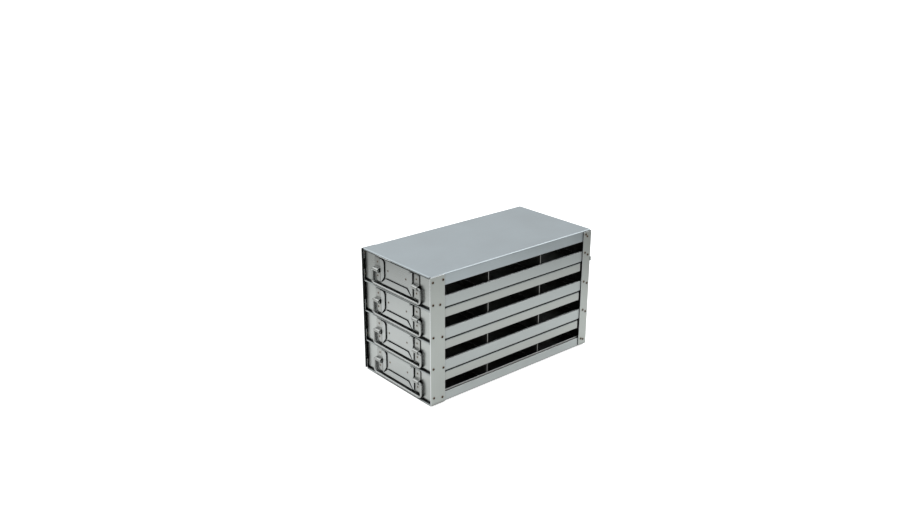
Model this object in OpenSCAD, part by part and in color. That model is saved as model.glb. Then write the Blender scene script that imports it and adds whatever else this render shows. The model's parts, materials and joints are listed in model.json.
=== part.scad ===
// Freezer drawer rack: a riveted sheet steel frame with four pull-out drawers.
// Each drawer has three equal compartments, a label holder and a hanging wire bail.
// Origin: centre of the rack on the surface it stands on. +X right, +Y to the rear, +Z up.

/* [Rack] */
// Width over the outer faces of the posts
rack_w = 140; // [130:1:180]
// Depth over the posts, front to rear
rack_d = 282; // [240:1:340]
// Height of one drawer row, from shelf to shelf
row_pitch = 42.4; // [40:0.2:60]
// How much higher the uppermost row is than the others
top_row_extra = 1.1; // [0:0.1:3]

/* [Panels and shelves] */
// Sheet thickness of the top, the base and the shelves
frame_sheet = 1; // [0.8:0.1:1.4]
// Inside radius of every fold in the sheet metal
bend_r = 1; // [0.6:0.1:1.4]
// Height of a shelf's upturned side flange
shelf_flange_h = 15.1; // [12:0.1:18]
// Height of the base's upturned side flange
base_flange_h = 14; // [12:0.1:18]
// Height of the top panel's downturned side flange
top_flange_h = 14.9; // [11:0.1:18]
// How far the panels' front edges lie behind the front posts
panel_setback = 1.2; // [0.5:0.1:2]
// Depth of the hem folded under a panel's edge
hem_depth = 6; // [4:0.5:8]
// Gap inside the top panel's hem, which isn't pressed quite shut
top_hem_gap = 0.7; // [0:0.1:1.5]

/* [Posts] */
// Sheet thickness of the posts
post_sheet = 1.2; // [0.8:0.1:2]
// Width of the flat front posts
front_post_w = 22.6; // [18:0.1:28]
// Width of each leg of the angled rear posts
rear_post_w = 16.1; // [12:0.1:20]
// Gap between a front post's top end and the top face
front_post_drop = 0.5; // [0.2:0.1:2]
// Gap between a rear post's top end and the top face
rear_post_drop = 1.9; // [0.5:0.1:3]
// Gap between a front post's lower end and the ground
front_post_foot = 1.7; // [0.2:0.1:3]
// Gap between a rear post's lower end and the ground
rear_post_foot = 2.4; // [0.5:0.1:4]

/* [Guide rails] */
// Height of a rail's hanging leg
rail_h = 12.3; // [10:0.1:15]
// Width of the rail leg welded under the shelf
rail_flange_w = 10; // [8:0.5:14]
// Distance from the front posts' front face to the rails
rail_start = 9; // [8.5:0.5:14]
// Gap between a rail's rear end and the rear post
rail_end_gap = 3; // [1:0.5:10]

/* [Rear tie bar] */
// Height of the channel over its two flanges
tie_h = 5.4; // [4:0.1:9]
// Depth of the channel behind the rear posts
tie_depth = 1.6; // [1.2:0.1:4]
// Sheet thickness of the channel
tie_sheet = 0.8; // [0.5:0.1:1]

/* [Drawers] */
// Sheet thickness of the drawers
drawer_sheet = 1; // [0.7:0.1:1.2]
// Gap between a drawer and the flange beside it
drawer_side_gap = 0.7; // [0.6:0.1:1.2]
// Gap between a drawer's floor and the shelf it runs on
glide_gap = 0.3; // [0.2:0.1:0.6]
// Gap above a drawer's tall walls
headroom = 0.8; // [0.5:0.1:2]
// Gap between a drawer's back wall and the rear posts
rear_gap = 0.6; // [0.3:0.1:2]
// How far the drawer fronts lie behind the front posts
front_recess = 4.5; // [2:0.1:6]
// Height of a drawer's low side walls
side_wall_h = 13.8; // [10:0.1:16]
// Depth of the foot folded along each upright wall
foot_d = 13; // [10:0.5:18]

/* [Label holders] */
// Gap between the label holder and the strap beside it
label_gap = 1.55; // [1:0.05:4]
// Sheet thickness of the label holder
label_sheet = 0.7; // [0.5:0.1:0.9]
// Slot between the holder's plate and its folded edges
card_gap = 1; // [0.6:0.1:1.2]
// Width of the folded side edges
side_edge_w = 7.8; // [7:0.1:12]
// Height of the folded lower edge
lower_edge_h = 8.2; // [6:0.1:10]
// Distance from the front panel's lower edge to the holder
label_lift = 4.5; // [3:0.1:7]

/* [Bails and straps] */
// Diameter of the bail wire
wire_d = 3; // [2.4:0.1:3.2]
// Gap between the bail's arm and the front panel's side edge
bail_edge_gap = 16.9; // [12:0.1:20]
// Gap between the bail's arm and the strap beside it
arm_gap = 2.45; // [2:0.05:4]
// How far the bail's bar stays above the drawer's underside
bar_lift = 0.4; // [0.2:0.1:1]
// Distance from the front panel to the centre of the wire
wire_standoff = 3.2; // [2.9:0.1:4]
// Radial clearance of the wire in its strap
wire_clearance = 0.06; // [0.03:0.01:0.1]
// Width of a strap
strap_w = 10.5; // [8:0.1:11]
// Sheet thickness of a strap
strap_sheet = 1; // [0.7:0.1:1.2]
// Distance from the front panel's lower edge to the strap
strap_lift = 4.8; // [3:0.1:7]
// Height of the pivot above the front panel's lower edge
pivot_lift = 20.7; // [18:0.1:23]

/* [Rivets] */
// Head diameter of the frame rivets
frame_head_d = 3.6; // [3:0.1:4]
// Shank diameter of the frame rivets
frame_shank_d = 2.4; // [1.8:0.1:2.6]
// Head diameter of the rivets on the drawer fronts
front_head_d = 3; // [2.4:0.1:3.6]
// Shank diameter of the rivets on the drawer fronts
front_shank_d = 1.8; // [1.2:0.1:2]

/* [Hidden] */
$fn = 64;
// Cuts run this far past the faces that they open
overrun = 1;
rows = 4;
sides = [-1, 1];

// Corner radii of flat blanks
post_corner_r = 1.2;
post_chamfer = 2;
strap_corner_r = 2.6;
label_corner_r = 5;
wall_corner_r = 1.5;

// The tie bar's middle stands this far above the top shelf's flat
tie_lift = 0.4;
// The label holder's upper end lies this far under the front panel's upper edge
label_top_gap = 0.3;
// Mitres of the holder's lower edge, from the holder's side: at the fold and at the tip
miter_fold_w = 2.8;
miter_tip_w = 11.2;
// The side edges' mitres end this far above the lower edge's tip
miter_rise_h = 1.6;

// Wire bends, on the wire's centre line
pin_bend_r = 3;
bar_bend_r = 5;
// The wire's ends stand this far out of the straps' inner edges
pin_end = 0.8;
// Splay of a strap's loop towards the front panel, in degrees
loop_splay = 20;

// Rivet heads, tails and the hollows left by their mandrels
frame_head_h = 0.6;
front_head_h = 0.5;
label_head_h = 0.25;
tail_h = 0.3;
tail_d_share = 1.35;
hollow_d_share = 0.75;
hollow_depth = 0.8;

// The rivets were set by hand, so each level has its own places: base, three shelves, top
// Rivet places along the width of each post, front rivet first
front_rivet_y_shares = [[0.21, 0.8], [0.19, 0.88], [0.2, 0.81], [0.19, 0.67], [0.19, 0.88]];
rear_rivet_y_shares = [[0.27, 0.53], [0.33, 0.67], [0.28, 0.67], [0.24, 0.6], [0.24, 0.44]];
// Rivet heights as shares of the flange behind them
front_rivet_z_shares = [[0.85, 0.65], [0.6, 0.44], [0.56, 0.4], [0.57, 0.45], [0.47, 0.45]];
rear_rivet_z_shares = [[0.85, 0.72], [0.87, 0.63], [0.86, 0.63], [0.85, 0.6], [0.36, 0.58]];
// Rivet places along a strap's flat ends, as shares of each end's length from the loop
upper_rivet_share = 0.49;
lower_rivet_share = 0.38;
// Rivets in the label holder, as shares of its width and of its height
label_rivet_x_share = 0.28;
label_rivet_z_share = 0.6;

// Places of the frame
top_z = rows * row_pitch + top_row_extra + frame_sheet;
panel_w = rack_w - 2 * post_sheet;
flange_in_w = panel_w - 2 * frame_sheet;
panel_end = rack_d - post_sheet - bend_r;
fold_r = bend_r + frame_sheet;
hem_w = panel_w - 2 * fold_r;
top_nose_r = frame_sheet + top_hem_gap / 2;
base_z = frame_sheet;
rail_end = rack_d - rear_post_w - rail_end_gap;
rear_post_y = rack_d - rear_post_w;
tie_z = (rows - 1) * row_pitch + frame_sheet + tie_lift;

// Places of the drawers, from a drawer's underside
drawer_w = flange_in_w - 2 * drawer_side_gap;
wall_top = row_pitch - 3 * frame_sheet - glide_gap - headroom;
front_z = drawer_sheet;
front_h = wall_top - front_z;
front_y = front_recess;
tray_y = front_y + drawer_sheet;
back_y = rack_d - post_sheet - rear_gap - drawer_sheet;
bay_d = (back_y - tray_y - 2 * drawer_sheet) / 3;
weld_gap = 0.1;
divider_w = drawer_w - 2 * (drawer_sheet + weld_gap);
foot_w = divider_w - 2 * bend_r;

// Places of the bail, its straps and the label holder
pivot_z = front_z + pivot_lift;
wire_y = front_y - wire_standoff;
loop_r = wire_d / 2 + wire_clearance;
loop_front_y = wire_y - loop_r - strap_sheet;
bail_w = drawer_w - 2 * bail_edge_gap - wire_d;
bail_drop = pivot_z - bar_lift - wire_d / 2;
strap_spacing = bail_w - wire_d - 2 * arm_gap - strap_w;
label_w = strap_spacing - strap_w - 2 * label_gap;
loop_foot_h = loop_foot(loop_r + strap_sheet, wire_standoff);
label_fold_r = label_sheet + card_gap / 2;
label_h = front_h - label_lift - label_top_gap;
label_z = front_z + label_lift;

// The rack's own frame has its origin in the middle of its depth
mid_y = (rack_d + tie_depth + loop_front_y) / 2;

// Height of a panel's underside: 0 is the base, 1 to 3 the shelves, 4 the top
function panel_z(k) = k == 0 ? base_z : k * row_pitch;
function drawer_z(n) = panel_z(rows - n) + frame_sheet + glide_gap;
// Height of a rivet at level k, a share of the flange away from the panel's outer face
function rivet_z(k, share) =
    k == 0 ? share * base_flange_h :
    k == rows ? top_z - share * top_flange_h : panel_z(k) + share * shelf_flange_h;
// Rivet places [y, z] at level k in the front and the rear posts
function front_rivets(k) =
    [for (j = [0, 1]) [front_post_w * front_rivet_y_shares[k][j], rivet_z(k, front_rivet_z_shares[k][j])]];
function rear_rivets(k) =
    [for (j = [0, 1]) [rear_post_y + rear_post_w * rear_rivet_y_shares[k][j],
                       rivet_z(k, rear_rivet_z_shares[k][j])]];
function post_rivets(at_rear) =
    [for (k = [0:rows]) each (at_rear ? rear_rivets(k) : front_rivets(k))];
// Half the height of a strap's loop of radius r where it leaves the flat, depth y behind the wire
function loop_foot(r, y) = (r + y * sin(loop_splay)) / cos(loop_splay);
// Heights of the two rivets in a strap
function strap_rivet_heights() = [
    pivot_z + loop_foot_h + upper_rivet_share * (front_z + front_h - pivot_z - loop_foot_h),
    pivot_z - loop_foot_h - lower_rivet_share * (pivot_z - loop_foot_h - front_z - strap_lift)];
// Rivet places [x, z, y of the face under the head] on a drawer front
function strap_rivets() =
    [for (s = sides) for (z = strap_rivet_heights()) [s * strap_spacing / 2, z, front_y - strap_sheet]];
function label_rivets() =
    [for (s = sides) [s * label_w * label_rivet_x_share, label_z + label_h * label_rivet_z_share,
                      front_y - label_sheet]];

DRAWER_PARTS = ["tray", "front", "back", "divider_front", "divider_rear", "label_holder",
                "strap_left", "strap_right", "rivets", "bail"];
FRAME_PARTS = ["top_panel", "base_panel", "shelf_1", "shelf_2", "shelf_3",
               "rail_left_1", "rail_left_2", "rail_left_3", "rail_right_1", "rail_right_2",
               "rail_right_3", "front_post_left", "front_post_right", "rear_post_left",
               "rear_post_right", "rear_tie_bar", "front_left_rivets", "front_right_rivets",
               "rear_left_rivets", "rear_right_rivets"];

// Moves a piece drawn from the front posts' front face into the rack's own frame
module in_rack() { translate([0, -mid_y, 0]) children(); }

// Draws a flat outline of x and z as a plate between two depths
module along_y(y0, y1) {
    translate([0, y1, 0]) rotate([90, 0, 0]) linear_extrude(y1 - y0) children();
}

// Draws a flat outline of y and z as a plate between two places across the width
module along_x(x0, x1) {
    translate([x0, 0, 0]) rotate([90, 0, 90]) linear_extrude(x1 - x0) children();
}

// Flat blank with its lower left corner at the origin and all corners round
module blank(w, h, r) {
    translate([r, 0]) square([w - 2 * r, h]);
    translate([0, r]) square([w, h - 2 * r]);
    for (x = [r, w - r], y = [r, h - r]) translate([x, y]) circle(r);
}

// Rectangle from the origin with the one corner at the origin round
module one_round(w, h, r) {
    translate([r, 0]) square([w - r, h]);
    translate([0, r]) square([r, h - r]);
    translate([r, r]) circle(r);
}

// Folded angle: two legs from the origin, along x and along y
module angle_section(w, h, sheet) {
    difference() {
        one_round(w, h, bend_r + sheet);
        translate([sheet, sheet]) one_round(w, h, bend_r);
    }
}

// Folded channel, centred on x, open upwards
module channel_section(w, h, sheet) {
    for (s = [0, 1]) mirror([s, 0]) translate([-w / 2, 0]) angle_section(w / 2, h, sheet);
}

// Outline of y and z of a hem below a panel's edge with a gap inside it, nose at y = 0
module hem_section(gap) {
    nose_r = frame_sheet + gap / 2;
    translate([nose_r, -gap / 2]) intersection() {
        difference() {
            circle(nose_r);
            if (gap > 0) circle(gap / 2);
        }
        translate([-nose_r, -nose_r]) square([nose_r, 2 * nose_r]);
    }
    translate([nose_r, -gap - frame_sheet]) square([hem_depth, frame_sheet]);
}

// Holes across the whole rack at places [y, z]
module side_holes(places) {
    for (p = places) translate([0, p[0], p[1]]) rotate([0, 90, 0])
        cylinder(d = frame_shank_d, h = rack_w + 2 * overrun, center = true);
}

// Rivet along z: head above the origin, shank through the grip, tail behind it
module rivet(head_d, head_h, shank_d, grip) {
    cap_r = (head_d * head_d / 4 + head_h * head_h) / (2 * head_h);
    difference() {
        union() {
            intersection() {
                translate([0, 0, head_h - cap_r]) sphere(cap_r);
                cylinder(d = head_d, h = head_h);
            }
            translate([0, 0, -grip]) cylinder(d = shank_d, h = grip + head_h / 2);
            translate([0, 0, -grip - tail_h]) cylinder(d = shank_d * tail_d_share, h = tail_h);
        }
        translate([0, 0, head_h - hollow_depth])
            cylinder(d = shank_d * hollow_d_share, h = hollow_depth + overrun);
    }
}

// Top panel: downturned side flanges and a hemmed front edge
module top_panel() {
    color("lightsteelblue") in_rack() difference() {
        union() {
            along_y(panel_setback + top_nose_r, panel_end)
                translate([0, top_z]) mirror([0, 1]) channel_section(panel_w, top_flange_h, frame_sheet);
            front_hem(top_z - frame_sheet, top_hem_gap);
        }
        side_holes(concat(front_rivets(rows), rear_rivets(rows)));
    }
}

// Hemmed front edge of a panel whose underside is at height z, closed unless a gap is given
module front_hem(z, gap = 0) {
    along_x(-hem_w / 2, hem_w / 2) translate([panel_setback, z]) hem_section(gap);
}

// Shelf or base at level k: upturned side flanges and a hemmed front edge
module tray_panel(k) {
    flange_rise = k == 0 ? base_flange_h - base_z : shelf_flange_h;
    color("silver") in_rack() difference() {
        union() {
            along_y(panel_setback + frame_sheet, panel_end) translate([0, panel_z(k)])
                channel_section(panel_w, flange_rise, frame_sheet);
            front_hem(panel_z(k));
            if (k == 0) rear_hem(panel_z(k));
        }
        side_holes(concat(front_rivets(k), rear_rivets(k)));
    }
}

// Hem under the base's rear edge, so that it stands level
module rear_hem(z) {
    along_x(-hem_w / 2, hem_w / 2) translate([panel_end - hem_depth, z - frame_sheet])
        square([hem_depth, frame_sheet]);
}

// Guide rail under shelf k, on side s
module guide_rail(k, s) {
    color("gainsboro") in_rack() mirror([s < 0 ? 1 : 0, 0]) along_y(rail_start, rail_end)
        translate([panel_w / 2, panel_z(k)]) mirror([1, 0]) mirror([0, 1])
            angle_section(rail_flange_w, rail_h, frame_sheet);
}

// Flat front post on side s
module front_post(s) {
    color("silver") in_rack() difference() {
        along_x(min(s * rack_w / 2, s * panel_w / 2), max(s * rack_w / 2, s * panel_w / 2))
            translate([0, front_post_foot])
                blank(front_post_w, top_z - front_post_drop - front_post_foot, post_corner_r);
        side_holes(post_rivets(false));
    }
}

// Outline of y and z of a rear post's side leg, with its chamfered lower rear corner
module rear_post_outline() {
    h = top_z - rear_post_drop - rear_post_foot;
    difference() {
        translate([rear_post_y, rear_post_foot]) union() {
            translate([0, post_corner_r]) square([rear_post_w, h - 2 * post_corner_r]);
            translate([post_corner_r, 0]) square([rear_post_w - post_corner_r, h]);
            for (z = [post_corner_r, h - post_corner_r]) translate([post_corner_r, z]) circle(post_corner_r);
        }
        polygon([[rack_d - post_chamfer, rear_post_foot], [rack_d, rear_post_foot + post_chamfer],
                 [rack_d + overrun, rear_post_foot - overrun]]);
    }
}

// Angled rear post on side s: one leg on the flanges, one behind the drawers
module rear_post(s) {
    color("silver") in_rack() mirror([s < 0 ? 1 : 0, 0]) difference() {
        intersection() {
            translate([rack_w / 2, rack_d, 0]) mirror([1, 0]) mirror([0, 1])
                linear_extrude(top_z) angle_section(rear_post_w, rear_post_w, post_sheet);
            along_x(0, rack_w) rear_post_outline();
        }
        side_holes(post_rivets(true));
    }
}

// Channel welded across the rear posts, its flanges to the rear
module rear_tie_bar() {
    color("silver") in_rack() along_x(-rack_w / 2, rack_w / 2) difference() {
        translate([rack_d, tie_z - tie_h / 2]) square([tie_depth, tie_h]);
        translate([rack_d + tie_sheet, tie_z - tie_h / 2 + tie_sheet])
            square([tie_depth, tie_h - 2 * tie_sheet]);
    }
}

// Rivets of one post
module post_rivet_set(s, at_rear) {
    color("rosybrown") in_rack() for (p = post_rivets(at_rear))
        translate([s * rack_w / 2, p[0], p[1]]) rotate([0, s * 90, 0])
            rivet(frame_head_d, frame_head_h, frame_shank_d, post_sheet + frame_sheet);
}

// Places a piece drawn from a drawer's underside
module in_drawer(n) { in_rack() translate([0, 0, drawer_z(n)]) children(); }

// Drawer tray: floor and low side walls from one sheet
module drawer_tray(n) {
    color("silver") in_drawer(n) along_y(tray_y, back_y)
        channel_section(drawer_w, side_wall_h, drawer_sheet);
}

// Outline of x and z of a wall of width w and height h, narrower at its foot and fold
module wall_outline(w, h) {
    fold_h = bend_r + drawer_sheet;
    translate([-w / 2, fold_h]) blank(w, h - fold_h, wall_corner_r);
    translate([-foot_w / 2, 0]) square([foot_w, h - wall_corner_r]);
}

// Upright wall of width w and height h at depth y, its foot folded towards the front
module upright(w, y, h) {
    translate([0, 0, drawer_sheet]) intersection() {
        along_x(-w / 2, w / 2) translate([y + drawer_sheet, 0]) mirror([1, 0])
            angle_section(foot_d, h, drawer_sheet);
        along_y(y - foot_d, y + foot_d) wall_outline(w, h);
    }
}

module drawer_back(n) { color("silver") in_drawer(n) upright(drawer_w, back_y, front_h); }

module drawer_divider(n, place) {
    color("gray") in_drawer(n)
        upright(divider_w, tray_y + place * (bay_d + drawer_sheet) - drawer_sheet, front_h);
}

// Holes through a drawer front at places [x, z]
module front_holes(places) {
    for (p = places) translate([p[0], front_y, p[1]]) rotate([90, 0, 0])
        cylinder(d = front_shank_d, h = 2 * foot_d, center = true);
}

// Drawer front: plate with a foot under it, drilled for the straps and the label holder
module drawer_front(n) {
    color("darkgray") in_drawer(n) difference() {
        translate([0, 0, front_z]) intersection() {
            along_x(-drawer_w / 2, drawer_w / 2) translate([front_y, 0])
                angle_section(foot_d, front_h, drawer_sheet);
            along_y(0, 2 * foot_d) wall_outline(drawer_w, front_h);
        }
        front_holes(concat(strap_rivets(), label_rivets()));
    }
}

// Outline of y and z of a strap's loop about the wire, of inner or outer radius r
module loop_outline(r, back_y) {
    foot = loop_foot(r, back_y);
    circle(r);
    polygon([[-r * sin(loop_splay), r * cos(loop_splay)], [back_y, foot],
             [back_y, -foot], [-r * sin(loop_splay), -r * cos(loop_splay)]]);
}

// The loop's inner or outer shape, across a strap and a little wider
module loop_solid(r, back_y, wider) {
    along_x(-strap_w / 2 - wider, strap_w / 2 + wider) translate([wire_y, pivot_z])
        loop_outline(r, back_y);
}

// Strap on side s: flat ends on the front panel and a loop that holds the bail's pin
module strap(n, s) {
    strap_h = front_h - strap_lift;
    color("lightgray") in_drawer(n) difference() {
        translate([s * strap_spacing / 2, 0, 0]) difference() {
            union() {
                along_y(front_y - strap_sheet, front_y)
                    translate([-strap_w / 2, front_z + strap_lift])
                        blank(strap_w, strap_h, strap_corner_r);
                loop_solid(loop_r + strap_sheet, wire_standoff, 0);
            }
            loop_solid(loop_r, wire_standoff + overrun, overrun);
        }
        front_holes(strap_rivets());
    }
}

// Outline of x and z of the holder's left folded edge, seen from the front
module side_leaf() {
    difference() {
        polygon([[label_fold_r, label_fold_r], [side_edge_w, lower_edge_h + miter_rise_h],
                 [side_edge_w, label_h], [label_fold_r, label_h]]);
        translate([side_edge_w - label_corner_r, label_h - label_corner_r])
            square(label_corner_r + overrun);
    }
    intersection() {
        translate([side_edge_w - label_corner_r, label_h - label_corner_r]) circle(label_corner_r);
        square([label_w, label_h]);
    }
}

// Outline of x and z of the holder's folded lower edge
module base_leaf() {
    polygon([[miter_fold_w, label_fold_r], [miter_tip_w, lower_edge_h],
             [label_w - miter_tip_w, lower_edge_h], [label_w - miter_fold_w, label_fold_r]]);
}

// Half ring that joins the holder's plate to a folded edge
module fold_ring() {
    difference() {
        circle(label_fold_r);
        circle(card_gap / 2);
        translate([0, -label_fold_r - overrun]) square(2 * (label_fold_r + overrun));
    }
}

// Label holder: a plate whose sides and lower edge are folded to the front
module label_holder(n) {
    leaf_y = front_y - 2 * label_fold_r;
    color("lightgray") in_drawer(n) difference() {
        union() {
            translate([-label_w / 2, 0, label_z]) {
                along_y(front_y - label_sheet, front_y) translate([label_fold_r, label_fold_r])
                    square([label_w - 2 * label_fold_r, label_h - label_fold_r]);
                along_y(leaf_y, leaf_y + label_sheet) {
                    side_leaf();
                    translate([label_w, 0]) mirror([1, 0]) side_leaf();
                    base_leaf();
                }
                for (s = [0, 1]) translate([s * label_w, 0, 0]) mirror([s, 0, 0])
                    translate([label_fold_r, front_y - label_fold_r, label_fold_r])
                        linear_extrude(label_h - label_fold_r) fold_ring();
                translate([miter_fold_w, front_y - label_fold_r, label_fold_r])
                    rotate([0, 90, 0]) rotate(180)
                        linear_extrude(label_w - 2 * miter_fold_w) fold_ring();
            }
        }
        front_holes(label_rivets());
    }
}

// Rivets of a drawer front: two in each strap and two in the label holder
module front_rivet_set(n) {
    color("rosybrown") in_drawer(n) {
        for (p = strap_rivets()) translate([p[0], p[2], p[1]]) rotate([90, 0, 0])
            rivet(front_head_d, front_head_h, front_shank_d, strap_sheet + drawer_sheet);
        for (p = label_rivets()) translate([p[0], p[2], p[1]]) rotate([90, 0, 0])
            rivet(front_head_d, label_head_h, front_shank_d, label_sheet + drawer_sheet);
    }
}

// Quarter turn of wire in the plane of the bail, from +x towards +z
module wire_bend(r) {
    rotate([90, 0, 0]) rotate_extrude(angle = 90) translate([r, 0]) circle(d = wire_d);
}

// One half of the bail, drawn on the +x side with the pivot at the origin's height
module half_bail() {
    arm_x = bail_w / 2;
    pin_x = strap_spacing / 2 - strap_w / 2 - pin_end;
    translate([pin_x, 0, 0]) rotate([0, 90, 0]) cylinder(d = wire_d, h = arm_x - pin_bend_r - pin_x);
    translate([arm_x - pin_bend_r, 0, -pin_bend_r]) wire_bend(pin_bend_r);
    translate([arm_x, 0, -bail_drop + bar_bend_r])
        cylinder(d = wire_d, h = bail_drop - bar_bend_r - pin_bend_r);
    translate([arm_x - bar_bend_r, 0, -bail_drop + bar_bend_r]) mirror([0, 0, 1]) wire_bend(bar_bend_r);
    translate([0, 0, -bail_drop]) rotate([0, 90, 0]) cylinder(d = wire_d, h = arm_x - bar_bend_r);
}

// Wire bail, hanging from the two straps
module bail(n) {
    color("whitesmoke") in_drawer(n) translate([0, wire_y, pivot_z]) {
        half_bail();
        mirror([1, 0, 0]) half_bail();
    }
}

top_panel();
tray_panel(0);  // base_panel
for (k = [1:rows - 1]) {
    tray_panel(rows - k);
    guide_rail(rows - k, -1);
    guide_rail(rows - k, 1);
}
front_post(-1);  // front_post_left
front_post(1);  // front_post_right
rear_post(-1);  // rear_post_left
rear_post(1);  // rear_post_right
rear_tie_bar();
post_rivet_set(-1, false);  // front_left_rivets
post_rivet_set(1, false);  // front_right_rivets
post_rivet_set(-1, true);  // rear_left_rivets
post_rivet_set(1, true);  // rear_right_rivets
for (n = [1:rows]) {
    drawer_tray(n);
    drawer_front(n);
    drawer_back(n);
    drawer_divider(n, 1);
    drawer_divider(n, 2);
    label_holder(n);
    strap(n, -1);
    strap(n, 1);
    front_rivet_set(n);
    bail(n);
}
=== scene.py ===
# Looks of a freezer drawer rack: a riveted frame of satin stainless sheet with four pull-out drawers.
# The sections follow the rack as it is put together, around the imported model.
import json
import math

import bmesh
import bpy
from mathutils import Matrix, Vector


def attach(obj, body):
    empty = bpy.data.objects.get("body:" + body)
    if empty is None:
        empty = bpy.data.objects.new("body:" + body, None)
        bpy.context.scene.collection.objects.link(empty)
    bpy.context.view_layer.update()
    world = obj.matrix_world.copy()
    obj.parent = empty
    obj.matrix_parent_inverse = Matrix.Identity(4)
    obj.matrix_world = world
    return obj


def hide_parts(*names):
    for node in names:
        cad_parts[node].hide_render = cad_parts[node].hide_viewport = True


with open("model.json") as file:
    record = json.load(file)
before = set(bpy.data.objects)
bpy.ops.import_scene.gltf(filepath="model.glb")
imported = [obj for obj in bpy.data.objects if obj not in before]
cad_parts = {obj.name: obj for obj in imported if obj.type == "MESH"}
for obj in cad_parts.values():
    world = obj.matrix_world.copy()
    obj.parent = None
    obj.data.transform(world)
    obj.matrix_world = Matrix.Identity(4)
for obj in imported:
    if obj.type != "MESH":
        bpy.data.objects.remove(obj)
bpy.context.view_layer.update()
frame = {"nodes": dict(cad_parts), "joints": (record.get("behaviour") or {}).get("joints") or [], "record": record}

# Camera. It stands to the right of the drawer fronts and looks a little down on the rack.
# Its place was fitted to the rack's corners in the photograph.
MM = 0.001
camera_azimuth, camera_elevation = math.radians(49.81), math.radians(20.03)
camera_distance = 1246.6 * MM
aim_point = Vector((0, -1.67, 85.15)) * MM
aim_right, aim_up = -38.12 * MM, 61.67 * MM
lens, sensor = 37.09, 36.0
nearest_seen, farthest_seen = 0.05, 60

back = Vector((math.sin(camera_azimuth) * math.cos(camera_elevation),
               -math.cos(camera_azimuth) * math.cos(camera_elevation), math.sin(camera_elevation)))
right = Vector((math.cos(camera_azimuth), math.sin(camera_azimuth), 0))
up = back.cross(right)
camera = bpy.data.objects.new("camera", bpy.data.cameras.new("camera"))
bpy.context.scene.collection.objects.link(camera)
bpy.context.scene.camera = camera
camera.data.lens, camera.data.sensor_width, camera.data.sensor_fit = lens, sensor, "HORIZONTAL"
camera.data.clip_start, camera.data.clip_end = nearest_seen, farthest_seen
turn = Matrix((right, up, back)).transposed().to_4x4()
camera.matrix_world = Matrix.Translation(
    aim_point + aim_right * right + aim_up * up + camera_distance * back) @ turn

# Floor and studio. A white paper floor in a plain room with two soft lamps. The paper shows white by
# itself and keeps a faint shadow. The metal sees it bright close by and dimmer further off, and sees a
# room that brightens from the horizon upwards and is dimmer at its far end.
floor_half = 14.0
floor_gap = 0.2 * MM
paper_colour, far_paper_colour, white_colour = "E6E6E4", "969694", "FFFFFF"
paper_glow, near_glow, far_glow = 0.78, 0.30, 0.0
near_edge, far_edge = 270 * MM, 700 * MM
horizon_level, high_level, horizon_end, high_start = 0.42, 1.10, 0.04, 0.42
horizon_colour, high_colour = "F4F3F0", "F3F6F9"
far_end_start, far_end_level = 0.45, 0.7


def linear_colour(code):
    """The linear colour of an sRGB hex code."""
    parts = [int(code[i:i + 2], 16) / 255 for i in (0, 2, 4)]
    return [c / 12.92 if c <= 0.04045 else ((c + 0.055) / 1.055) ** 2.4 for c in parts] + [1.0]


def add_node(tree, kind, links=None, **settings):
    """Adds a node with its settings; links holds a value or another node's socket for each input."""
    node = tree.nodes.new(kind)
    for name, value in settings.items():
        setattr(node, name, value)
    for key, value in (links or {}).items():
        if isinstance(value, bpy.types.NodeSocket):
            tree.links.new(value, node.inputs[key])
        else:
            node.inputs[key].default_value = value
    return node


floor_mesh = bpy.data.meshes.new("paper_floor")
floor_mesh.from_pydata([(x * floor_half, y * floor_half, -floor_gap)
                        for x, y in ((-1, -1), (1, -1), (1, 1), (-1, 1))], [], [(0, 1, 2, 3)])
floor = bpy.data.objects.new("paper_floor", floor_mesh)
bpy.context.scene.collection.objects.link(floor)
paper = bpy.data.materials.new("matte white paper")
paper.use_nodes = True
tree = paper.node_tree
tree.nodes.clear()
rays = add_node(tree, "ShaderNodeLightPath")
spot = add_node(tree, "ShaderNodeTexCoord").outputs["Object"]
from_rack = add_node(tree, "ShaderNodeVectorMath", {0: spot}, operation="LENGTH")
away = add_node(tree, "ShaderNodeMapRange", {"Value": from_rack.outputs["Value"], "From Min": near_edge,
                                             "From Max": far_edge}, interpolation_type="SMOOTHSTEP")
falling = add_node(tree, "ShaderNodeMapRange", {"Value": away.outputs[0], "To Min": near_glow,
                                                "To Max": far_glow})
mirrored = add_node(tree, "ShaderNodeMath", {0: rays.outputs["Is Glossy Ray"],
                                             1: rays.outputs["Is Transmission Ray"]}, operation="MAXIMUM")
in_metal = add_node(tree, "ShaderNodeMath", {0: mirrored.outputs[0], 1: falling.outputs[0]},
                    operation="MULTIPLY")
glow_level = add_node(tree, "ShaderNodeMath", {0: rays.outputs["Is Camera Ray"], 1: paper_glow,
                                               2: in_metal.outputs[0]}, operation="MULTIPLY_ADD")
dimmed = add_node(tree, "ShaderNodeMath", {0: mirrored.outputs[0], 1: away.outputs[0]},
                  operation="MULTIPLY")
hue = add_node(tree, "ShaderNodeMix", {"Factor": dimmed.outputs[0], 6: linear_colour(paper_colour),
                                       7: linear_colour(far_paper_colour)}, data_type="RGBA")
matte = add_node(tree, "ShaderNodeBsdfDiffuse", {"Color": hue.outputs[2]})
glow = add_node(tree, "ShaderNodeEmission", {"Color": linear_colour(white_colour),
                                             "Strength": glow_level.outputs[0]})
both = add_node(tree, "ShaderNodeAddShader", {0: matte.outputs[0], 1: glow.outputs[0]})
add_node(tree, "ShaderNodeOutputMaterial", {"Surface": both.outputs[0]})
floor_mesh.materials.append(paper)

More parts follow.
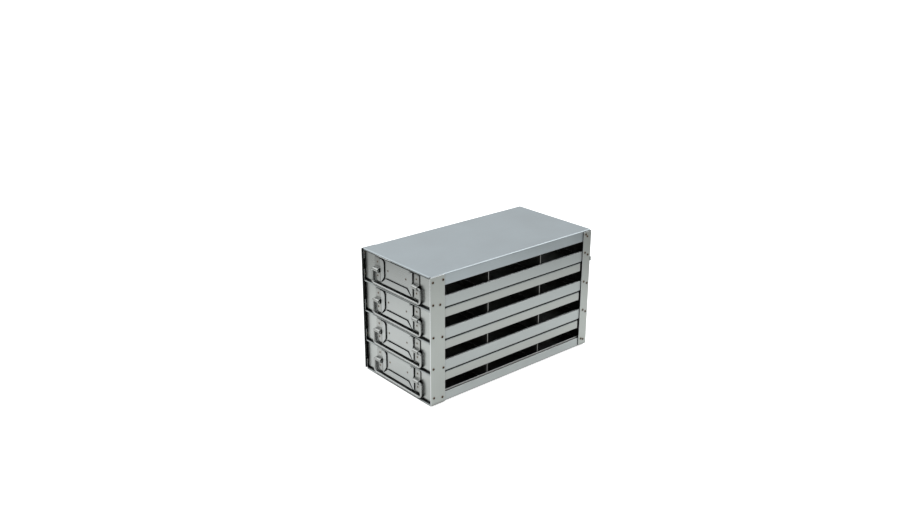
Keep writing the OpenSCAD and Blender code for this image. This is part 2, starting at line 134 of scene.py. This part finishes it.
world = bpy.data.worlds.new("studio")
bpy.context.scene.world = world
world.use_nodes = True
tree = world.node_tree
tree.nodes.clear()
rays = add_node(tree, "ShaderNodeLightPath")
outlook = add_node(tree, "ShaderNodeTexCoord").outputs["Generated"]
direction = add_node(tree, "ShaderNodeSeparateXYZ", {0: outlook})
rise = add_node(tree, "ShaderNodeMapRange", {"Value": direction.outputs["Z"], "From Min": horizon_end,
                                             "From Max": high_start}, interpolation_type="SMOOTHSTEP")
level = add_node(tree, "ShaderNodeMapRange", {"Value": rise.outputs[0], "To Min": horizon_level,
                                              "To Max": high_level})
far_end = add_node(tree, "ShaderNodeMapRange", {"Value": direction.outputs["Y"], "From Min": far_end_start,
                                                "From Max": 1.0, "To Min": 1.0, "To Max": far_end_level})
dim = add_node(tree, "ShaderNodeMath", {0: level.outputs[0], 1: far_end.outputs[0]}, operation="MULTIPLY")
hue = add_node(tree, "ShaderNodeMix", {"Factor": rise.outputs[0], 6: linear_colour(horizon_colour),
                                       7: linear_colour(high_colour)}, data_type="RGBA")
room = add_node(tree, "ShaderNodeBackground", {"Color": hue.outputs[2], "Strength": dim.outputs[0]})
white = add_node(tree, "ShaderNodeBackground", {"Color": linear_colour(white_colour), "Strength": 1.0})
picked = add_node(tree, "ShaderNodeMixShader", {"Fac": rays.outputs["Is Camera Ray"], 1: room.outputs[0],
                                                2: white.outputs[0]})
add_node(tree, "ShaderNodeOutputWorld", {"Surface": picked.outputs[0]})

rack_middle = Vector((0, 0, 85 * MM))
for name, place, size, watts in (("key softbox", (-1.15, -0.72, 1.06), 1.5, 3.2),
                                 ("rear softbox", (0.55, 0.93, 1.15), 0.85, 3.2)):
    lamp = bpy.data.objects.new(name, bpy.data.lights.new(name, "AREA"))
    lamp.data.shape, lamp.data.size, lamp.data.energy = "DISK", size, watts
    lamp.location = place
    lamp.rotation_euler = (rack_middle - Vector(place)).to_track_quat("-Z", "Y").to_euler()
    bpy.context.scene.collection.objects.link(lamp)
bpy.context.scene.view_settings.view_transform = "Standard"

# Panels and shelves. 1 mm austenitic stainless sheet, cold rolled, folded on a press brake.
# The satin finish has fine lines along the rolling direction, which runs to the rear, and the
# sheared edges are deburred, so they show as thin bright lines.
panel_colour, base_colour, edge_colour = "B3BBBE", "B0B5B4", "E2E5E5"
panel_grain, edge_grain = (0.5, 45, 0.5), (0.4, 0.4, 0.4)
cloud_width, line_relief = 38 * MM, 0.02 * MM
# Painted shade in narrow gaps: each steel's colour falls to this share between these free shares of the view.
gap_gloom, gap_openness = 0.06, (0.5, 0.97)
burr_width, weld_gap = 0.16 * MM, 0.002 * MM
thickest_sheet, shortest_shear = 1.3 * MM, 5 * MM
flat_angle, cut_angle, crease_angle = math.radians(0.6), math.radians(50), math.radians(55)
# Normals of the bends and of the lower halves of hem noses, which get the steel with stronger painted shade.
shaded_slant, flat_side, nose_fall, nose_front = 0.12, 0.9995, -0.25, -0.1
cad_nodes = frame["nodes"]
body_of_node = {n: b for b, names in frame["record"]["behaviour"]["bodies"].items() for n in names}


def in_painted_shade(tree, colour, reach, gloom, openness):
    """The colour socket with painted shade: darkened to its gloom share where another face stands closer than the
    reach in millimetres, as if shade fell there. Openness gives the free share of the view at which the painted
    shade ends and starts."""
    nearness = add_node(tree, "ShaderNodeAmbientOcclusion", {"Distance": reach * MM}, samples=12)
    free = add_node(tree, "ShaderNodeMapRange", {"Value": nearness.outputs["AO"], "From Min": openness[0],
                                                 "From Max": openness[1], "To Min": gloom, "To Max": 1.0})
    return add_node(tree, "ShaderNodeVectorMath", {0: colour, "Scale": free.outputs[0]},
                    operation="SCALE").outputs[0]


def satin_steel(name, colour, grain, roughness=0.36, clouding=0.05, reach=3.0, gloom=gap_gloom,
                openness=gap_openness):
    """Satin rolled sheet: hairlines along the longest of the three grain lengths in millimetres, which roughen the
    gloss, and faint clouds from handling. The real lines are 0.05 mm apart, too fine to show, so they are drawn
    coarser. Narrow gaps up to the reach in millimetres get painted shade in the colour."""
    steel = bpy.data.materials.new(name)
    steel.use_nodes = True
    tree = steel.node_tree
    gloss = tree.nodes["Principled BSDF"]
    place = add_node(tree, "ShaderNodeTexCoord").outputs["Object"]
    along = add_node(tree, "ShaderNodeMapping", {"Vector": place, "Scale": [1 / (g * MM) for g in grain]})
    lines = add_node(tree, "ShaderNodeTexNoise", {"Vector": along.outputs[0], "Scale": 1.0, "Detail": 3.0,
                                                  "Roughness": 0.65})
    clouds = add_node(tree, "ShaderNodeTexNoise", {"Vector": place, "Scale": 1 / cloud_width,
                                                   "Detail": 2.0, "Roughness": 0.5})
    marks = add_node(tree, "ShaderNodeMath", {0: lines.outputs["Fac"], 1: clouds.outputs["Fac"]},
                     operation="ADD")
    level = add_node(tree, "ShaderNodeMapRange", {"Value": marks.outputs[0], "From Min": 0.6,
                                                  "From Max": 1.4, "To Min": roughness - 0.05,
                                                  "To Max": roughness + 0.07})
    tree.links.new(level.outputs[0], gloss.inputs["Roughness"])
    base = linear_colour(colour)
    dark = [c * (1 - clouding) for c in base[:3]] + [1.0]
    light = [min(1.0, c * (1 + clouding)) for c in base[:3]] + [1.0]
    shade = add_node(tree, "ShaderNodeMapRange", {"Value": marks.outputs[0], "From Min": 0.7,
                                                  "From Max": 1.3})
    tint = add_node(tree, "ShaderNodeMix", {"Factor": shade.outputs[0], 6: dark, 7: light},
                    data_type="RGBA")
    tree.links.new(in_painted_shade(tree, tint.outputs[2], reach, gloom, openness), gloss.inputs["Base Color"])
    relief = add_node(tree, "ShaderNodeBump", {"Height": lines.outputs["Fac"], "Strength": 0.12,
                                               "Distance": line_relief})
    tree.links.new(relief.outputs[0], gloss.inputs["Normal"])
    gloss.inputs["Metallic"].default_value = 1.0
    return steel


def finish_piece(piece, node):
    """The piece stands for the CAD node and moves with its body."""
    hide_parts(node)
    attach(piece, body_of_node[node])


def plain_result(piece):
    """Turns what the piece's modifiers give into its own mesh, and removes them."""
    graph = bpy.context.evaluated_depsgraph_get()
    made = bpy.data.meshes.new_from_object(piece.evaluated_get(graph))
    piece.modifiers.clear()
    piece.data = made


def deburr(node, sheet, edge, width=burr_width, shade=None, shaded=None):
    """Copies a sheet piece off its CAD node, rounds its cut edges and lets it stand for the node. Faces whose
    normal passes the test called shaded get the steel called shade, which carries stronger painted shade."""
    shell = bmesh.new()
    shell.from_mesh(cad_nodes[node].data)
    bmesh.ops.remove_doubles(shell, verts=shell.verts, dist=weld_gap)
    bmesh.ops.dissolve_limit(shell, angle_limit=flat_angle, verts=shell.verts, edges=shell.edges,
                             use_dissolve_boundaries=False)
    cut = [e for e in shell.edges if len(e.link_faces) == 2 and e.calc_face_angle() > cut_angle]
    sharp = set(cut)
    for face in shell.faces:
        long_side = max(e.calc_length() for e in face.edges)
        sheared = (face.calc_area() < thickest_sheet * long_side and long_side > shortest_shear
                   and all(e in sharp for e in face.edges if e.calc_length() > long_side / 3))
        face.material_index = 2 if shade and shaded(face.normal) else int(sheared)
    bmesh.ops.bevel(shell, geom=cut, offset=width, segments=2, profile=0.5, affect="EDGES",
                    clamp_overlap=False, material=1)
    for face in shell.faces:
        face.smooth = True
    mesh = bpy.data.meshes.new(node + "_steel")
    shell.to_mesh(mesh)
    shell.free()
    mesh.set_sharp_from_angle(angle=crease_angle)
    mesh.materials.append(sheet)
    mesh.materials.append(edge)
    if shade:
        mesh.materials.append(shade)
    piece = bpy.data.objects.new(node + "_steel", mesh)
    bpy.context.scene.collection.objects.link(piece)
    even = piece.modifiers.new("even shading", "WEIGHTED_NORMAL")
    even.keep_sharp = True
    plain_result(piece)
    finish_piece(piece, node)


# The bends along the shelves' sides and the lower halves of the hems lie close to the drawers and posts, so they
# get a copy of the steel whose painted shade turns them near black, as if in deep shadow.
cut_edge = satin_steel("deburred sheet edge", edge_colour, edge_grain, roughness=0.28)
panel_sheet = satin_steel("satin stainless sheet", panel_colour, panel_grain, reach=4)
shelf_sheet = satin_steel("satin stainless shelf sheet", base_colour, panel_grain, reach=4)
fold_shade = satin_steel("folded edge in painted shade", base_colour, panel_grain, reach=5, gloom=0.03,
                         openness=(0.86, 0.97))


def side_fold(normal):
    """Whether a normal is on the bend along a sheet's side or on the lower half of a hem's nose."""
    return shaded_slant < abs(normal.x) < flat_side or under_nose(normal)


def under_nose(normal):
    """Whether a normal is on the lower half of a hem's nose."""
    return normal.z < nose_fall and normal.y < nose_front


deburr("top_panel", panel_sheet, cut_edge, shade=fold_shade, shaded=under_nose)
deburr("base_panel", shelf_sheet, cut_edge, shade=fold_shade, shaded=under_nose)
for node in ("shelf_1", "shelf_2", "shelf_3"):
    deburr(node, shelf_sheet, cut_edge, shade=fold_shade, shaded=side_fold)

# Guide rails. Angles of the same 1 mm sheet, spot welded under each shelf before the rack is riveted.
# Their finish is a little warmer than the shelves'.
ROWS = (1, 2, 3, 4)
rail_colour = "AFB2AE"
rail_sheet = satin_steel("satin stainless rail sheet", rail_colour, panel_grain, reach=4)
for row in ROWS[:3]:
    for side in ("left", "right"):
        deburr(f"rail_{side}_{row}", rail_sheet, cut_edge, shade=fold_shade,
               shaded=side_fold)

# Posts and tie bar. 1.2 mm stainless strip, the front ones flat and the rear ones folded to an angle,
# with the grain running up the post. The tie bar is a small channel welded across the rear posts.
post_colour = "B0B4B0"
post_grain, tie_grain = (0.5, 0.5, 45), (45, 0.5, 0.5)
facing_inward = 0.9
post_sheet = satin_steel("satin stainless post strip", post_colour, post_grain, reach=6)
tie_sheet = satin_steel("satin stainless tie strip", post_colour, tie_grain)
# The inner side of each front post, in the gap beside the drawer fronts, gets a copy of the post steel whose
# painted shade turns it nearly black.
post_shade = satin_steel("inner side of a post in painted shade", post_colour, post_grain, reach=8, gloom=0.05,
                         openness=(0.86, 1.0))
for side, inward in (("left", 1), ("right", -1)):
    deburr(f"front_post_{side}", post_sheet, cut_edge, shade=post_shade,
           shaded=lambda normal: normal.x * inward > facing_inward)
    deburr(f"rear_post_{side}", post_sheet, cut_edge)
deburr("rear_tie_bar", tie_sheet, cut_edge)

# Frame rivets. Blind rivets of stainless steel, ten to a post, pulled from the outside: a low domed
# head, and in its middle the broken mandrel, which has tarnished brown.
head_colour, mandrel_colour = "A89E92", "4A3320"
frame_head_height = 0.6 * MM
speck_width = 1.2 * MM
lathe_steps, lathe_crease = 24, math.radians(40)


def polished_steel(name, colour, roughness, speckle=0.3, reach=1.5):
    """Drawn or formed steel with a bright skin, with fine specks that dull it here and there, and painted shade
    where another face stands closer than the reach in millimetres.
    """
    steel = bpy.data.materials.new(name)
    steel.use_nodes = True
    tree = steel.node_tree
    gloss = tree.nodes["Principled BSDF"]
    place = add_node(tree, "ShaderNodeTexCoord").outputs["Object"]
    specks = add_node(tree, "ShaderNodeTexNoise", {"Vector": place, "Scale": 1 / speck_width,
                                                   "Detail": 2.0})
    level = add_node(tree, "ShaderNodeMapRange", {"Value": specks.outputs["Fac"], "From Min": 0.35,
                                                  "From Max": 0.7, "To Min": roughness,
                                                  "To Max": roughness * (1 + speckle)})
    tree.links.new(level.outputs[0], gloss.inputs["Roughness"])
    base = linear_colour(colour)
    dark = [c * (1 - speckle / 2) for c in base[:3]] + [1.0]
    tint = add_node(tree, "ShaderNodeMix", {"Factor": specks.outputs["Fac"], 6: base, 7: dark},
                    data_type="RGBA")
    tree.links.new(in_painted_shade(tree, tint.outputs[2], reach, gap_gloom, gap_openness),
                   gloss.inputs["Base Color"])
    gloss.inputs["Metallic"].default_value = 1.0
    return steel


def turned_shape(name, outline):
    """Turns an outline of radius and height in millimetres about z into a closed shape."""
    shape = bmesh.new()
    rings = []
    for radius, height in outline:
        if radius == 0:
            rings.append([shape.verts.new((0, 0, height * MM))])
        else:
            ring = []
            for k in range(lathe_steps):
                angle = math.tau * k / lathe_steps
                ring.append(shape.verts.new((radius * MM * math.cos(angle), radius * MM * math.sin(angle),
                                             height * MM)))
            rings.append(ring)
    for low, high in zip(rings, rings[1:]):
        for k in range(lathe_steps):
            following = (k + 1) % lathe_steps
            corners = [low[k % len(low)], low[following % len(low)],
                       high[following % len(high)], high[k % len(high)]]
            shape.faces.new(list(dict.fromkeys(corners)))
    bmesh.ops.recalc_face_normals(shape, faces=shape.faces)
    for face in shape.faces:
        face.smooth = True
    mesh = bpy.data.meshes.new(name)
    shape.to_mesh(mesh)
    shape.free()
    mesh.set_sharp_from_angle(angle=lathe_crease)
    return bpy.data.objects.new(name, mesh)


def rivet_places(node, outward):
    """The outermost point of each rivet of a CAD node, on the crown of its head."""
    solids = bmesh.new()
    solids.from_mesh(cad_nodes[node].data)
    bmesh.ops.remove_doubles(solids, verts=solids.verts, dist=weld_gap)
    left, places = set(solids.verts), []
    while left:
        group, waiting = set(), [left.pop()]
        while waiting:
            vertex = waiting.pop()
            group.add(vertex)
            for link in vertex.link_edges:
                other = link.other_vert(vertex)
                if other in left:
                    left.discard(other)
                    waiting.append(other)
        low = Vector([min(v.co[i] for v in group) for i in range(3)])
        high = Vector([max(v.co[i] for v in group) for i in range(3)])
        middle = (low + high) / 2
        places.append(middle + outward * (max(v.co.dot(outward) for v in group) - middle.dot(outward)))
    solids.free()
    return sorted(places, key=lambda p: tuple(round(c, 5) for c in p))


def rivet_tree():
    """Geometry nodes that set a rivet and its mandrel on each crown point. The shapes stretch along
    their axis from the drawn head height to the one that the point carries."""
    tree = bpy.data.node_groups.new("rivets on places", "GeometryNodeTree")
    for name, kind in (("Places", "NodeSocketGeometry"), ("Rivet", "NodeSocketObject"),
                       ("Mandrel", "NodeSocketObject"), ("Turn", "NodeSocketVector"),
                       ("Outward", "NodeSocketVector"), ("Drawn height", "NodeSocketFloat"),
                       ("Rivet steel", "NodeSocketMaterial"), ("Mandrel steel", "NodeSocketMaterial")):
        tree.interface.new_socket(name=name, in_out="INPUT", socket_type=kind)
    tree.interface.new_socket(name="Rivets", in_out="OUTPUT", socket_type="NodeSocketGeometry")
    given = tree.nodes.new("NodeGroupInput")
    height = add_node(tree, "GeometryNodeInputNamedAttribute", {"Name": "head height"}, data_type="FLOAT")
    inward = add_node(tree, "ShaderNodeMath", {0: height.outputs[0], 1: -1.0}, operation="MULTIPLY")
    sunk = add_node(tree, "ShaderNodeVectorMath", {0: given.outputs["Outward"],
                                                   "Scale": inward.outputs[0]}, operation="SCALE")
    seated = add_node(tree, "GeometryNodeSetPosition", {"Geometry": given.outputs["Places"],
                                                        "Offset": sunk.outputs[0]})
    share = add_node(tree, "ShaderNodeMath", {0: height.outputs[0], 1: given.outputs["Drawn height"]},
                     operation="DIVIDE")
    stretch = add_node(tree, "ShaderNodeCombineXYZ", {"X": 1.0, "Y": 1.0, "Z": share.outputs[0]})
    joined = tree.nodes.new("GeometryNodeJoinGeometry")
    for part, steel in (("Rivet", "Rivet steel"), ("Mandrel", "Mandrel steel")):
        source = add_node(tree, "GeometryNodeObjectInfo", {"Object": given.outputs[part]})
        copies = add_node(tree, "GeometryNodeInstanceOnPoints", {
            "Points": seated.outputs[0], "Instance": source.outputs["Geometry"],
            "Rotation": given.outputs["Turn"], "Scale": stretch.outputs[0]})
        real = add_node(tree, "GeometryNodeRealizeInstances", {"Geometry": copies.outputs[0]})
        painted = add_node(tree, "GeometryNodeSetMaterial", {"Geometry": real.outputs[0],
                                                             "Material": given.outputs[steel]})
        tree.links.new(painted.outputs[0], joined.inputs[0])
    add_node(tree, "NodeGroupOutput", {"Rivets": joined.outputs[0]})
    return tree


def set_rivets(node, outward, turn, drawn_height, height_at, rivet, mandrel):
    """Builds the rivets of one node, each with the head height that its place asks for, and lets them
    stand for it."""
    mesh = bpy.data.meshes.new(node + "_heads")
    places = rivet_places(node, outward)
    mesh.from_pydata([tuple(p) for p in places], [], [])
    heights = mesh.attributes.new("head height", "FLOAT", "POINT")
    heights.data.foreach_set("value", [height_at(p) for p in places])
    piece = bpy.data.objects.new(node + "_heads", mesh)
    bpy.context.scene.collection.objects.link(piece)
    riveting = piece.modifiers.new("rivets", "NODES")
    riveting.node_group = rivets_on_places
    inputs = {s.name: s.identifier for s in rivets_on_places.interface.items_tree if s.in_out == "INPUT"}
    for name, value in (("Rivet", rivet), ("Mandrel", mandrel), ("Turn", turn),
                        ("Outward", tuple(outward)), ("Drawn height", drawn_height),
                        ("Rivet steel", rivet_steel), ("Mandrel steel", mandrel_steel)):
        riveting[inputs[name]] = value
    plain_result(piece)
    finish_piece(piece, node)


rivets_on_places = rivet_tree()
# The rivets' colour has painted shade where the heads meet the sheet.
rivet_steel = polished_steel("bright stainless rivet", head_colour, 0.26)
mandrel_steel = polished_steel("tarnished steel mandrel", mandrel_colour, 0.45, speckle=0.6)
frame_rivet = turned_shape("frame_rivet", [
    (0, -2.5), (1.35, -2.5), (1.6, -2.42), (1.6, -2.25), (1.2, -2.2), (1.2, 0), (1.74, 0), (1.8, 0.06),
    (1.78, 0.2), (1.66, 0.4), (1.54, 0.54), (1.46, 0.6), (1.4, 0.58), (1.36, 0.5), (1.34, 0.1),
    (0, 0.1)])
frame_mandrel = turned_shape("frame_mandrel", [
    (0, 0.05), (1.32, 0.05), (1.32, 0.3), (1.24, 0.38), (0.7, 0.43), (0.5, 0.34), (0, 0.3)])
for side, x in (("left", -1), ("right", 1)):
    for end in ("front", "rear"):
        set_rivets(f"{end}_{side}_rivets", Vector((x, 0, 0)), (0, x * math.pi / 2, 0), frame_head_height,
                   lambda place: frame_head_height, frame_rivet, frame_mandrel)

# Drawer trays, back walls and dividers. 1 mm stainless sheet: the floor and low sides are one folded piece, and
# the walls stand on feet that are spot welded to the floor. Little light gets in between the shelves, and their
# colour also carries painted shade that darkens it wherever other faces stand within 60 mm, so a closed drawer is
# dark inside and an open one is bright.
tray_colour, wall_colour = "A6A6A2", "A9A9A5"
tray_grain, wall_grain = (0.5, 45, 0.5), (45, 0.5, 0.5)
tray_sheet = satin_steel("satin stainless tray sheet", tray_colour, tray_grain, roughness=0.4, reach=60,
                         gloom=0.1, openness=(0.2, 0.7))
wall_sheet = satin_steel("satin stainless wall sheet", wall_colour, wall_grain, roughness=0.4, reach=60,
                         gloom=0.1, openness=(0.2, 0.7))
wall_edge = satin_steel("edge of a drawer wall", wall_colour, edge_grain, reach=60, gloom=0.1,
                        openness=(0.2, 1.0))
for row in ROWS:
    deburr(f"drawer_{row}_tray", tray_sheet, cut_edge)
    for wall in ("back", "divider_front", "divider_rear"):
        deburr(f"drawer_{row}_{wall}", wall_sheet, wall_edge)

# Drawer fronts. A plate of 1 mm stainless sheet with its foot under the tray's end, with the grain across the
# front and a brighter finish than the frame's. Its colour has strong painted shade, near black, in the narrow gaps
# beside the bail, the straps and the label holder.
front_colour = "BEC1BE"
front_sheet = satin_steel("satin stainless front sheet", front_colour, wall_grain, roughness=0.3,
                          reach=2.5, gloom=0.03, openness=(0.82, 0.95))
for row in ROWS:
    deburr(f"drawer_{row}_front", front_sheet, cut_edge)

# Label holders. 0.7 mm stainless sheet, with the sides and the lower edge folded back over it to hold a card,
# mitred where they meet. Its colour has strong painted shade under the folded edges and beside the bail.
label_colour = "BBBEBC"
label_burr_width = 0.1 * MM
label_sheet = satin_steel("satin stainless label sheet", label_colour, wall_grain, roughness=0.3,
                          reach=3, gloom=0.03, openness=(0.76, 0.93))
for row in ROWS:
    deburr(f"drawer_{row}_label_holder", label_sheet, cut_edge, width=label_burr_width)

# Straps. 1 mm stainless strip with rounded ends, pressed out in the middle to a loop for the bail.
# Each follows its path up the front: flat, around the wire, and flat again.
strap_colour = "B0B2AF"
strap_width, strap_thickness, strap_end_radius, strap_edge_radius = 10.5, 1.0, 2.6, 0.16
strap_middle_x, strap_bend, loop_radius, loop_splay = 39.5, 1.1, 2.06, math.radians(20)
strap_below, strap_above, strap_behind = 15.9, 16.6, 2.7
strap_end_steps = (0, 0.1, 0.35, 0.8, 1.4, 2.0, 2.6)
formed_crease, doubled_corner = math.radians(40), 0.0001
joints = {j["name"]: j for j in frame["joints"]}


def forming_tree():
    """Geometry nodes that bend a section along a path of corners, each with its own bend radius."""
    tree = bpy.data.node_groups.new("formed along a path", "GeometryNodeTree")
    for name, kind in (("Path", "NodeSocketGeometry"), ("Section", "NodeSocketObject"),
                       ("Steel", "NodeSocketMaterial")):
        tree.interface.new_socket(name=name, in_out="INPUT", socket_type=kind)
    tree.interface.new_socket(name="Piece", in_out="OUTPUT", socket_type="NodeSocketGeometry")
    given = tree.nodes.new("NodeGroupInput")
    bend = add_node(tree, "GeometryNodeInputNamedAttribute", {"Name": "bend"}, data_type="FLOAT")
    line = add_node(tree, "GeometryNodeMeshToCurve", {"Mesh": given.outputs["Path"]})
    bent = add_node(tree, "GeometryNodeFilletCurve", {"Curve": line.outputs[0], "Count": 12,
                                                      "Radius": bend.outputs[0]}, mode="POLY")
    drawn = add_node(tree, "GeometryNodeObjectInfo", {"Object": given.outputs["Section"]})
    section = add_node(tree, "GeometryNodeMeshToCurve", {"Mesh": drawn.outputs["Geometry"]})
    swept = add_node(tree, "GeometryNodeCurveToMesh", {"Curve": bent.outputs[0],
                                                       "Profile Curve": section.outputs[0],
                                                       "Fill Caps": True})
    real = add_node(tree, "GeometryNodeRealizeInstances", {"Geometry": swept.outputs[0]})
    painted = add_node(tree, "GeometryNodeSetMaterial", {"Geometry": real.outputs[0],
                                                         "Material": given.outputs["Steel"]})
    add_node(tree, "NodeGroupOutput", {"Piece": painted.outputs[0]})
    return tree


def closed_section(name, corners):
    """An outline in millimetres, drawn in its own plane. A corner that repeats the one before it is
    left out."""
    corners = [c for k, c in enumerate(corners) if math.dist(c, corners[k - 1]) > doubled_corner]
    mesh = bpy.data.meshes.new(name)
    mesh.from_pydata([(x * MM, y * MM, 0) for x, y in corners],
                     [(i, (i + 1) % len(corners)) for i in range(len(corners))], [])
    return bpy.data.objects.new(name, mesh)


def form(name, path, bends, section, steel):
    """Bends the section along the path of points in metres, with bend radii in millimetres."""
    mesh = bpy.data.meshes.new(name)
    mesh.from_pydata(path, [(i, i + 1) for i in range(len(path) - 1)], [])
    radii = mesh.attributes.new("bend", "FLOAT", "POINT")
    radii.data.foreach_set("value", [b * MM for b in bends])
    piece = bpy.data.objects.new(name, mesh)
    bpy.context.scene.collection.objects.link(piece)
    forming = piece.modifiers.new("forming", "NODES")
    forming.node_group = formed_along_path
    inputs = {s.name: s.identifier for s in formed_along_path.interface.items_tree if s.in_out == "INPUT"}
    forming[inputs["Section"]] = section
    forming[inputs["Steel"]] = steel
    plain_result(piece)
    for face in piece.data.polygons:
        face.use_smooth = True
    piece.data.set_sharp_from_angle(angle=formed_crease)
    return piece


def round_corners(half_width, half_height, radius, steps):
    """Corners of a rectangle about the origin with rounded corners."""
    corners = []
    for turn, (x, y) in enumerate(((1, 1), (-1, 1), (-1, -1), (1, -1))):
        for k in range(steps + 1):
            angle = math.pi / 2 * (turn + k / steps)
            corners.append((x * (half_width - radius) + radius * math.cos(angle),
                            y * (half_height - radius) + radius * math.sin(angle)))
    return corners


formed_along_path = forming_tree()
# The straps' colour has painted shade inside the loop and beside the wire.
strap_sheet = satin_steel("pressed stainless strap", strap_colour, post_grain, roughness=0.3, reach=4)
strap_section = closed_section("strap_section", round_corners(strap_width / 2, strap_thickness / 2,
                                                              strap_edge_radius, 3))
for row in ROWS:
    pivot = Vector(joints[f"bail_{row}_swing"]["pos_m"])
    foot = (loop_radius + strap_behind * math.sin(loop_splay)) / math.cos(loop_splay)
    profile = ([(strap_behind, -strap_below + t, 0) for t in strap_end_steps] +
               [(strap_behind, -foot, strap_bend), (-loop_radius / math.sin(loop_splay), 0, loop_radius),
                (strap_behind, foot, strap_bend)] +
               [(strap_behind, strap_above - t, 0) for t in reversed(strap_end_steps)])
    for side, s in (("left", -1), ("right", 1)):
        middle = Vector((s * strap_middle_x * MM, pivot.y, pivot.z))
        strap = form(f"drawer_{row}_strap_{side}_steel",
                     [middle + Vector((0, y, z)) * MM for y, z, _ in profile],
                     [b for _, _, b in profile], strap_section, strap_sheet)
        for vertex in strap.data.vertices:
            high = (vertex.co.z - pivot.z) / MM
            inside = min(high + strap_below, strap_above - high)
            if inside < strap_end_radius:
                half = strap_width / 2 - strap_end_radius + math.sqrt(
                    max(0, strap_end_radius ** 2 - (strap_end_radius - inside) ** 2))
                vertex.co.x = middle.x + (vertex.co.x - middle.x) * half / (strap_width / 2)
        finish_piece(strap, f"drawer_{row}_strap_{side}")

# Drawer rivets. Blind rivets of stainless steel, smaller than the frame's: two in each strap, and two
# with flat heads in the label holder, so that a card slides over them.
front_head_height, label_head_height = 0.5 * MM, 0.25 * MM
front_rivet = turned_shape("front_rivet", [
    (0, -2.2), (1.05, -2.2), (1.2, -2.1), (1.2, -2.0), (0.9, -1.96), (0.9, 0), (1.44, 0), (1.5, 0.05),
    (1.47, 0.15), (1.3, 0.31), (1.12, 0.43), (0.98, 0.49), (0.92, 0.5), (0.86, 0.46), (0.84, 0.1),
    (0, 0.1)])
front_mandrel = turned_shape("front_mandrel", [
    (0, 0.05), (0.82, 0.05), (0.82, 0.24), (0.76, 0.3), (0.4, 0.34), (0.3, 0.28), (0, 0.26)])
label_edge = max(v.co.x for v in cad_nodes["drawer_1_label_holder"].data.vertices)
for row in ROWS:
    set_rivets(f"drawer_{row}_rivets", Vector((0, -1, 0)), (math.pi / 2, 0, 0), front_head_height,
               lambda place: front_head_height if abs(place.x) > label_edge else label_head_height,
               front_rivet, front_mandrel)

# Bails. 3 mm stainless wire, drawn bright and bent cold, with its two ends turned in as pins that
# swing in the straps.
wire_colour = "B6B8B6"
wire_diameter, pin_end_x, arm_x, bar_drop, pin_bend, bar_bend = 3.0, 33.45, 48.7, 19.8, 3, 5
# The wire's colour has painted shade on its side towards the drawer front.
wire_steel = polished_steel("bright drawn stainless wire", wire_colour, 0.14, reach=1.6)
wire_section = closed_section("wire_section", round_corners(wire_diameter / 2, wire_diameter / 2,
                                                            wire_diameter / 2, 6))
for row in ROWS:
    pivot = Vector(joints[f"bail_{row}_swing"]["pos_m"])
    path = [(-pin_end_x, 0, 0), (-arm_x, 0, pin_bend), (-arm_x, -bar_drop, bar_bend),
            (arm_x, -bar_drop, bar_bend), (arm_x, 0, pin_bend), (pin_end_x, 0, 0)]
    bail = form(f"drawer_{row}_bail_wire", [pivot + Vector((x, 0, z)) * MM for x, z, _ in path],
                [b for _, _, b in path], wire_section, wire_steel)
    finish_piece(bail, f"drawer_{row}_bail")
